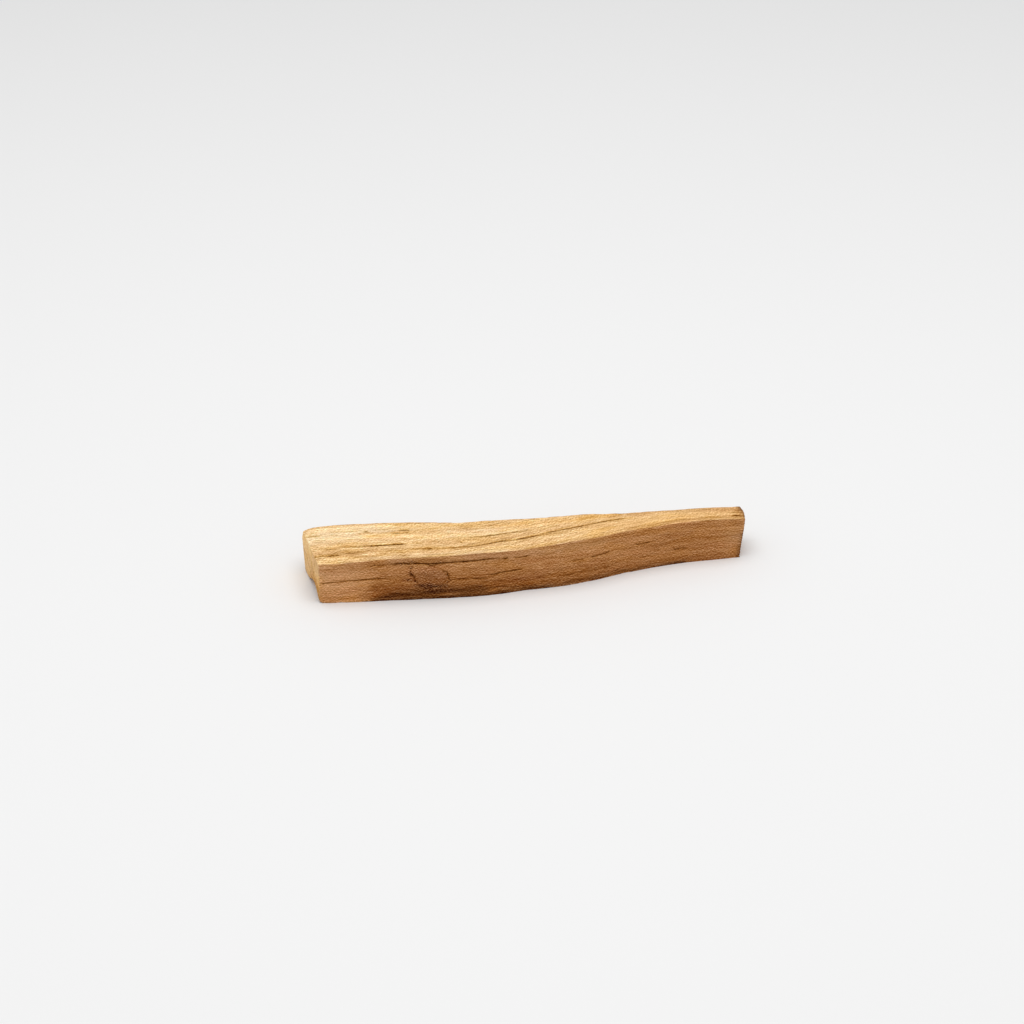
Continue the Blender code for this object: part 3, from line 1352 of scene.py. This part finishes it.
TOP_CRACKS = (
    # Near the front, on the wide half
    (((-50.8, 4.2), (-49.5, 3.9), (-47, 3.8)), 0.15, 0.16, 0.6, 0.1, 0.06, 0.08),
    (((-47.3, 3.75), (-45.5, 3.65), (-44.4, 3.95)), 0.2, 0.22, 0.85, 0, 0.06, 0.08),
    (((-43.8, 4.3), (-42, 4.1), (-40, 4.25), (-38.8, 4.25)), 0.2, 0.12, 0.55, 0.3, 0.1, 0.05),
    (((-38.6, 3.8), (-35, 3.6), (-32.5, 3.45), (-30, 3.4)), 0.2, 0.1, 0.38, 0.4, 0.1),
    (((-26.7, 4.25), (-25.4, 4.2), (-24, 4.2)), 0.24, 0.16, 0.9, 0.4),
    (((-23.6, 4.1), (-21.5, 3.95), (-19, 4)), 0.16, 0.12, 0.5, 0.4),
    # Along the middle of the wide half
    (((-48.3, 6.9), (-46.8, 6.8), (-45.3, 6.75)), 0.26, 0.1, 0.45, 0.3),
    (((-43.8, 7.25), (-42, 7.05), (-40, 6.75), (-36.6, 6.65)), 0.14, 0.16, 0.66, 0.1, 0.05, 0.1),
    (((-37.9, 6.65), (-34.5, 6.65), (-31.5, 6.9), (-29.3, 7.05)), 0.17, 0.2, 1, 0.05, 0.05, 0.1),
    # Short checks further back
    (((-50.8, 14.9), (-49.5, 14.4), (-48, 13.9)), 0.2, 0.12, 0.55, 0.2),
    (((-46, 13.8), (-44, 13.6), (-41.5, 13.8)), 0.2, 0.06, 0.25, 0.5),
    (((-43.2, 15.5), (-40.5, 15.1), (-38.4, 14.7)), 0.22, 0.06, 0.25, 0.4),
    (((-38.4, 14.6), (-37.3, 14.4), (-36.4, 14.2)), 0.3, 0.12, 0.65, 0.2),
    (((-30, 14.3), (-28.8, 14.35), (-27.3, 14.15)), 0.26, 0.18, 0.64, 0.1, 0.06),
    (((-31.9, 13.2), (-30.2, 12.8), (-28.5, 12.85), (-27, 12.65)), 0.2, 0.14, 0.6, 0.25, 0.06),
    (((-30.5, 17.3), (-28.6, 17.2)), 0.22, 0.08, 0.35, 0.3),
    (((-27.3, 9.9), (-25.8, 9.8), (-24.6, 9.6)), 0.22, 0.08, 0.4, 0.3),
    (((-30.2, 9.5), (-28.6, 9.5)), 0.2, 0.06, 0.3, 0.3),
    (((-27.6, 7.3), (-25.8, 7.2)), 0.16, 0.06, 0.35, 0.3),
    (((-24.3, 7.7), (-22.2, 7.45)), 0.16, 0.06, 0.3, 0.3),
    (((-17.15, 6.1), (-16.9, 6.1)), 0.24, 0.22, 0.9),
    (((-18.9, 6.9), (-17.4, 6.75)), 0.14, 0.06, 0.3, 0.3),
    # The two long lines that run across the bow
    (((-19.5, 3.7), (-15, 3.8), (-12.5, 4.2), (-11, 4.6), (-8, 5), (-5.5, 4.9), (-3, 5.05), (-1, 5.25),
     (1.5, 5.7), (3.5, 6.2), (7, 6.5), (11, 6.65), (15, 6.9), (20, 6.75), (25, 6.7)), 0.2, 0.14, 0.82,
     0.25, 0.05, 0.1),
    (((-20.5, 3.75), (-17.5, 3.7), (-14.5, 3.85), (-12, 4.35)), 0.2, 0.06, 0.55, 0.2, 0.05),
    (((-3, 5.05), (-0.5, 5.3), (1.5, 5.75), (4, 6.25)), 0.2, 0.06, 0.35, 0.1, 0.05),
    (((-15.2, 8.05), (-12, 7.95), (-10, 8.1), (-8, 8.3), (-5, 8.4), (-2, 8.5), (0.4, 8.8)), 0.18, 0.1,
     0.72, 0.3, 0.05, 0.05),
    # Short checks on the narrow half
    (((4.2, 9.4), (6.2, 9.2)), 0.2, 0.06, 0.35, 0.3),
    (((-1.8, 12.7), (0.4, 12.4), (2, 12.2)), 0.22, 0.06, 0.35, 0.4),
    (((11.5, 10.9), (14, 10.8), (17, 10.5)), 0.28, 0.06, 0.35, 0.3),
    (((30.6, 1.8), (33, 1.75), (35.5, 1.75)), 0.3, 0.06, 0.35, 0.4),
    (((46.9, 4.05), (48, 4.2), (49.3, 4.4)), 0.2, 0.14, 0.44, 0.1),
    (((46.8, 2.2), (48.2, 2.1), (49.6, 2.05)), 0.24, 0.26, 0.9, 0.05),
    (((48.6, 5.9), (49.8, 5.8)), 0.2, 0.16, 0.5, 0.2),
)
END_CRACKS = (
    (LEFT_END, ((4, 1.2), (5.2, 3.4), (6.1, 6)), 0.09, 0.2, 0.55, 0.3, 0.1),
    (LEFT_END, ((12, 2.2), (12.6, 4.6)), 0.08, 0.12, 0.4, 0.3, 0.1),
    (RIGHT_END, ((2.2, 0.2), (3, 2.6), (3.4, 5.2)), 0.1, 0.3, 0.8, 0.2, 0.1),
    (RIGHT_END, ((6.4, 3), (6.9, 5.4), (7, 8)), 0.08, 0.16, 0.5, 0.3, 0.1),
)

# Crumbly patches of the front around the knot: middle, reach and strength
CRUMBLES = (
    ((-31.8, 1.38), (0.5, 0.32), 1.15),
    ((-29.8, 1.3), (2.4, 0.55), 0.75),
    ((-28.5, 1.5), (0.4, 0.4), 1.2),
    ((-26, 1.85), (0.8, 0.25), 1.05),
    ((-36.6, 1.35), (1.8, 0.4), 0.5),
    ((-23.6, 1.65), (1.2, 0.3), 1.1),
    ((-29.7, 4.25), (0.6, 0.45), 1.4),
    ((-29.8, 3.55), (0.35, 0.45), 1.35),
    ((-30.4, 5.6), (0.9, 0.45), 1.2),
    ((-29.6, 2.45), (0.4, 0.4), 1),
    ((-28.8, 6.1), (0.35, 0.3), 1.4),
    ((-21.5, 4.7), (0.3, 0.3), 1.15),
    ((-25.4, 7.5), (2.9, 0.85), 1.05),
    ((-24.6, 9), (2.4, 0.5), 0.95),
    ((-21.5, 6.55), (0.7, 0.35), 0.85),
    ((-26, 3.4), (3, 2.2), 0.28),
)

# Streaks: face, stain, route, half width, strength and fray
STREAKS = (
    # Resin and rust low on the front also paint the shade of neighbouring sticks, the face darker
    # downward
    (FRONT, RESIN, ((-37, 10.4), (-30, 9.2), (-22, 9.1), (-13, 9.7)), 2.2, 0.8, 0.25),
    (FRONT, RESIN, ((-38, 11.2), (-28, 10.8), (-16, 11), (-2, 10.9)), 1.7, 0.95, 0.25),
    (FRONT, RESIN, ((-10, 10.4), (-3, 10.2), (3, 10.8)), 1.1, 0.8),
    (FRONT, RESIN, ((-28.2, 7.3), (-25.5, 7.6), (-21.8, 7.8)), 1.2, 0.58),
    (FRONT, RESIN, ((-21, 8.5), (-15, 8.7), (-8, 9.2), (-3, 9.6)), 0.6, 0.6, 0.9),
    (FRONT, RESIN, ((-8, 10.9), (6, 10.7), (24, 10.4), (32, 10.4)), 1.1, 0.45),
    (FRONT, RUST, ((-37.5, 8.6), (-32, 7.6), (-18, 7.4), (2, 8.2), (16, 8.4)), 3.8, 0.88, 0.2),
    (FRONT, RUST, ((-36, 4.4), (-26, 5.4), (-12, 5.8), (-2, 6.2)), 3, 0.45, 0.2),
    (FRONT, RUST, ((-46, 0.8), (-40, 0.9), (-29, 1), (-22, 1.4)), 1.3, 0.34),
    (FRONT, RUST, ((-18.5, 7.6), (-14, 7.5), (-8.5, 7.8)), 0.7, 0.6),
    (FRONT, RUST, ((4, 10.2), (16, 9.9), (28, 9.4), (50, 9.6)), 2.8, 0.72, 0.3),
    (FRONT, RUST, ((28, 4.8), (41, 4.8)), 4.6, 0.42, 0.2),
    (FRONT, RUST, ((18, 7.6), (30, 7.3), (42, 7)), 1.8, 0.5, 0.3),
    (FRONT, RUST, ((-36, 6.4), (-30, 6.2), (-12, 6)), 2.2, 0.6, 0.3),
    (FRONT, BLEACH, ((-53, 4.5), (-45, 4.5)), 9, 0.95, 0.2),
    (FRONT, BLEACH, ((-52, 9.8), (-43, 9.6)), 3.4, 0.95, 0.2),
    (FRONT, BLEACH, ((-6, 1.2), (12, 1.2)), 2.4, 0.2, 0.2),
    (FRONT, CREAM, ((-54, 2), (-46, 2)), 10, 1, 0.2),
    (FRONT, CREAM, ((-34, 0.6), (-23, 1), (15, 1.2)), 2.2, 0.8, 0.2),
    (FRONT, CREAM, ((51.5, 4), (47, 4)), 4, 0.8, 0.2),
    (TOP, RUST, ((-46, 4.6), (-43.5, 4.9), (-41, 4.8)), 1.5, 0.6),
    (TOP, RUST, ((-50.5, 5.6), (-46.5, 6.2), (-43.5, 7.6), (-41.5, 8.3)), 1.2, 0.5),
    (TOP, RUST, ((-50, 4.4), (-44, 4.4), (-34, 4.2), (-20, 4)), 1.1, 0.4),
    (TOP, RUST, ((-41, 2.2), (-36, 2.4), (-30, 3.4), (-25, 4.2)), 1.7, 0.5),
    (TOP, RUST, ((-26.5, 3.9), (-21, 3.5), (-17, 3.4)), 1.4, 0.55),
    (TOP, RUST, ((-24, 6.6), (-14, 6.4), (-6, 6.6), (4, 7.4), (14, 7.8)), 1.5, 0.42),
    (TOP, RUST, ((-44, 0.5), (-30, 0.7), (-20, 0.6)), 1.1, 0.3),
    (TOP, RUST, ((-8, 0.4), (8, 0.5), (20, 0.5)), 1.1, 0.28),
    (TOP, RUST, ((-46.5, 3.4), (-42, 3.1)), 1.2, 0.75),
    (TOP, RUST, ((-22, 3.1), (-14, 3)), 1.2, 0.55),
    (TOP, RUST, ((-15, 4.9), (-10, 5.2)), 1, 0.6),
    (TOP, RUST, ((-3, 5.4), (4, 5.4)), 1.1, 0.4),
    (TOP, RUST, ((-15.2, 13.3), (-13.5, 12.6)), 0.8, 0.6),
    (TOP, CREAM, ((-53, 13.5), (-44, 14), (-34, 14.5)), 6.5, 1, 0.2),
    (TOP, CREAM, ((-34, 16), (-20, 13.5), (-8, 11)), 3, 0.62, 0.3),
    (TOP, CREAM, ((-19, 9.2), (-2, 8.8)), 1.8, 0.6, 0.3),
    (TOP, CREAM, ((-38, 1), (-8, 0.9)), 1.6, 0.5, 0.3),
    (TOP, RUST, ((-9, 13.6), (-6.6, 13.1)), 0.7, 0.6),
    (TOP, RUST, ((22, 0.4), (36, 1), (50, 1.4)), 2.2, 0.7),
    (TOP, RUST, ((20, 9.6), (34, 8.6), (50, 7)), 3.2, 0.55),
    # Rust along the top at the right end paints the shade of the end's rim
    (TOP, RUST, ((49.2, 0), (50.6, 10)), 2.4, 0.95),
    (TOP, AMBER, ((-36, 13), (-31, 12.6), (-25, 13.2)), 1.8, 0.55),
    (TOP, AMBER, ((-24, 13.5), (-12, 13), (0, 12.3), (12, 10.8), (21, 9)), 2.6, 0.62),
    (TOP, AMBER, ((-1, 10.8), (2.5, 10.4)), 0.9, 0.55),
    (TOP, AMBER, ((11, 10.9), (17.5, 10.4)), 0.7, 0.55),
    (TOP, AMBER, ((14, 3), (34, 3.2), (50, 4)), 5.5, 0.45, 0.1),
    (TOP, BLEACH, ((-51, 13), (-42, 13.2), (-37, 12)), 3.2, 0.62, 0.3),
    (TOP, BLEACH, ((-49, 17.3), (-38, 16.8), (-26, 16.4), (-17, 15.6)), 2.2, 0.75, 0.4),
    (TOP, BLEACH, ((-29, 10.8), (-24, 10), (-13, 9.6), (-4, 9.6)), 1.6, 0.7, 0.4),
    (TOP, BLEACH, ((-42, 17.4), (-39, 17), (-36, 17.6)), 1.8, 0.5, 0.4),
    (BACK, RUST, ((-48, 8), (-20, 7.6), (10, 8.2)), 2.6, 0.45),
    (BACK, RESIN, ((-22, 9), (-2, 9.2), (14, 9.4)), 1.5, 0.4),
    (BACK, AMBER, ((5, 3), (30, 3.6), (50, 3)), 2, 0.45),
    (BACK, LINE, ((-40, 4.8), (-12, 4.3), (8, 4.9)), 0.5, 0.6),
    # Resin over the right end: a weathered end, partly painted shade of its turned-away rim
    (RIGHT_END, RESIN, ((-6, 5), (16, 5)), 14, 0.45, 0.2),
    (UNDERSIDE, RESIN, ((-38, 1), (-24, 1.6), (-8, 1.2)), 2.6, 0.6),
    (UNDERSIDE, RUST, ((-46, 8), (-16, 7), (14, 6), (46, 5)), 2.8, 0.4),
    (FRONT, RUST, ((-37.5, 6.4), (-26, 5.9), (-11, 6.1)), 2.5, 0.85, 0.3),
    (FRONT, LINE, ((-38, 7.5), (-32, 7.4), (-26, 7.2)), 1.4, 0.45),
    (FRONT, LINE, ((-11, 7.5), (0, 7.7)), 1.2, 0.42),
    (FRONT, AMBER, ((-38, 9.8), (-20, 9.8), (-2, 9.8)), 2.2, 1, 0.2),
    # Resin at the front's foot paints its contact shade
    (FRONT, RESIN, ((28.5, 10.4), (35, 10.6)), 1.2, 0.8),
    # Thin resin lines on the right end's edges paint the shade of its rim
    (FRONT, RESIN, ((50.3, 0.2), (50.2, 2), (49.4, 4), (48.6, 10.5)), 0.7, 0.9, 0.1),
    (TOP, RESIN, ((49.8, 0), (50.4, 4), (50.9, 8), (51.1, 10)), 0.7, 0.8, 0.1),
    # Resin under the front's lower edge paints contact shade
    (UNDERSIDE, RESIN, ((-39, 0.2), (-20, 0.2), (-2, 0.2)), 1.2, 0.9, 0.2),
    (TOP, AMBER, ((-37.5, 11.6), (-31.5, 11.8)), 2.3, 1),
    (TOP, AMBER, ((-39, 13.2), (-31, 13.1)), 1.3, 0.6),
    (TOP, RUST, ((-34, 1.2), (-30.3, 1.3)), 1.1, 0.6),
    (TOP, RUST, ((-34, 3), (-25, 3.1)), 1, 0.45),
    (TOP, RUST, ((-6, 1.3), (7, 1.3)), 1.3, 0.28),
    (TOP, RUST, ((33.5, 3.2), (39, 3.2)), 1.3, 0.4),
    (LEFT_END, BLEACH, ((10, 1), (20, 2)), 4.2, 1, 0.2),
    (LEFT_END, RUST, ((-2, 8), (4, 8.6), (8, 8)), 4.2, 0.85, 0.2),
    (LEFT_END, AMBER, ((-2, 5.5), (5, 7)), 4, 0.9, 0.2),
    (TOP, LINE, ((42, 6), (52, 5.5)), 4, 0.22, 0.2),
    (FRONT, LINE, ((-31.7, 5.6), (-29.7, 5.3)), 1, 0.6, 0.3),
    (FRONT, LINE, ((-30.2, 2.9), (-29.6, 4.5), (-29, 6.2)), 1, 0.34, 0.3),
    (FRONT, CREAM, ((-27.6, 4.7), (-22.8, 4.7)), 2.2, 0.55, 0.2),
    # Resin at the front's foot paints its contact shade
    (FRONT, RESIN, ((-36, 11.4), (-29, 11.2)), 1, 1, 0.2),
)


@dataclass
class PaloSantoStick:
    """The whole stick: its surface, its carving and its finish."""

    node: Object
    knot: Knot = Knot()
    seed: int = 7
    hidden_width: float = 0.13
    hidden_wander: float = 0.12
    hidden_depth: float = 0.35
    hidden_ledge: float = 0.12

    def hidden_cracks(self) -> list[Crack]:
        """Fine splits scattered over the faces that have no drawn ones.

        Returns:
            The cracks, the same ones on every run.
        """
        pick = random.Random(self.seed)
        cracks = []
        for face, count, reach in ((BACK, 16, (1.0, 8.6)), (UNDERSIDE, 14, (1.5, 15.0))):
            for _ in range(count):
                start = pick.uniform(-49.0, 38.0)
                length = pick.uniform(3.0, 16.0)
                offset = pick.uniform(*reach)
                drift = pick.uniform(-0.035, 0.035)
                steps = (0.0, 0.5 * length, length)
                route = tuple((start + step, offset + drift * step) for step in steps)
                strength = pick.uniform(0.35, 0.95)
                broken = pick.uniform(0.0, 0.5)
                depth = self.hidden_depth * strength
                ledge = self.hidden_ledge * strength
                shape = (self.hidden_width, depth, strength, broken, self.hidden_wander, ledge)
                cracks.append(Crack(face, route, *shape))
        return cracks

    def build(self) -> Object:
        """Make the finished stick and hand it to the frame.

        Returns:
            The stick's piece.
        """
        surface = welded_copy(self.node)
        guide = StickGuide(self.node, surface)
        shape = StickSurface(guide, self.knot)
        piece = shape.block()
        shape.lay_on(piece, surface)
        bpy.data.objects.remove(surface, do_unlink=True)
        cracks = [Crack(FRONT, *row) for row in FRONT_CRACKS]
        cracks += [Crack(TOP, *row) for row in TOP_CRACKS]
        cracks += self.hidden_cracks()
        cracks += [Crack(*row) for row in END_CRACKS]
        streaks = [Streak(*row) for row in STREAKS]
        crumbles = [Crumble(FRONT, *row) for row in CRUMBLES]
        Carving(piece, guide, self.knot, cracks, streaks, crumbles).cut()
        piece.data.shade_smooth()
        piece.data.materials.append(PaloSantoFinish("palo_santo_wood").build())
        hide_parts("stick")
        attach(piece, "root")
        LOG.info("piece %s: %d faces, %d cracks", piece.name, len(piece.data.polygons), len(cracks))
        return piece


def deselect_all() -> None:
    """Leave nothing selected."""
    for obj in bpy.context.selected_objects:
        obj.select_set(False)


def read_vectors(piece: Object, name: str) -> Array:
    """Read a vector of every vertex.

    Args:
        piece: the piece.
        name: which one, "co" for its place or "normal" for the direction that it looks.

    Returns:
        The vectors, one row each.
    """
    vectors = np.empty(len(piece.data.vertices) * 3, np.float32)
    piece.data.vertices.foreach_get(name, vectors)
    return vectors.reshape(-1, 3).astype(float)


def move_vertices(piece: Object, places: Array) -> None:
    """Move every vertex of a piece."""
    piece.data.vertices.foreach_set("co", places.astype(np.float32).ravel())
    piece.data.update()


def write_attribute(piece: Object, name: str, values: Array) -> None:
    """Store a number or a vector for each vertex of a piece.

    Args:
        piece: the piece.
        name: the attribute's name.
        values: a number or a row of three for each vertex.
    """
    kind, field = ("FLOAT", "value") if values.ndim == 1 else ("FLOAT_VECTOR", "vector")
    attribute = piece.data.attributes.new(name, kind, "POINT")
    attribute.data.foreach_set(field, values.astype(np.float32).ravel())


def modify(piece: Object, kind: str, **settings: object) -> None:
    """Change a piece's mesh by a modifier.

    Args:
        piece: the piece.
        kind: the modifier's type.
        settings: its properties.
    """
    modifier = piece.modifiers.new(kind, kind)
    for name, setting in settings.items():
        setattr(modifier, name, setting)
    deselect_all()
    bpy.context.view_layer.objects.active = piece
    piece.select_set(True)
    bpy.ops.object.modifier_apply(modifier=modifier.name)


def welded_copy(node: Object) -> Object:
    """A copy of a CAD node with its loose triangles joined, to measure and to lay a piece on.

    Args:
        node: the CAD node's object.

    Returns:
        The copy, which is removed once it has been used.
    """
    copy = bpy.data.objects.new("solid_copy", node.data.copy())
    bpy.context.scene.collection.objects.link(copy)
    mesh = bmesh.new()
    mesh.from_mesh(copy.data)
    bmesh.ops.remove_doubles(mesh, verts=mesh.verts, dist=1e-6)
    mesh.to_mesh(copy.data)
    mesh.free()
    return copy


def main() -> None:
    """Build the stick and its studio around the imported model."""
    logging.basicConfig(level=logging.INFO, format="%(name)s: %(message)s")
    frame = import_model()
    Studio().build()
    PaloSantoStick(frame["nodes"]["stick"]).build()


if __name__ == "__main__":
    main()
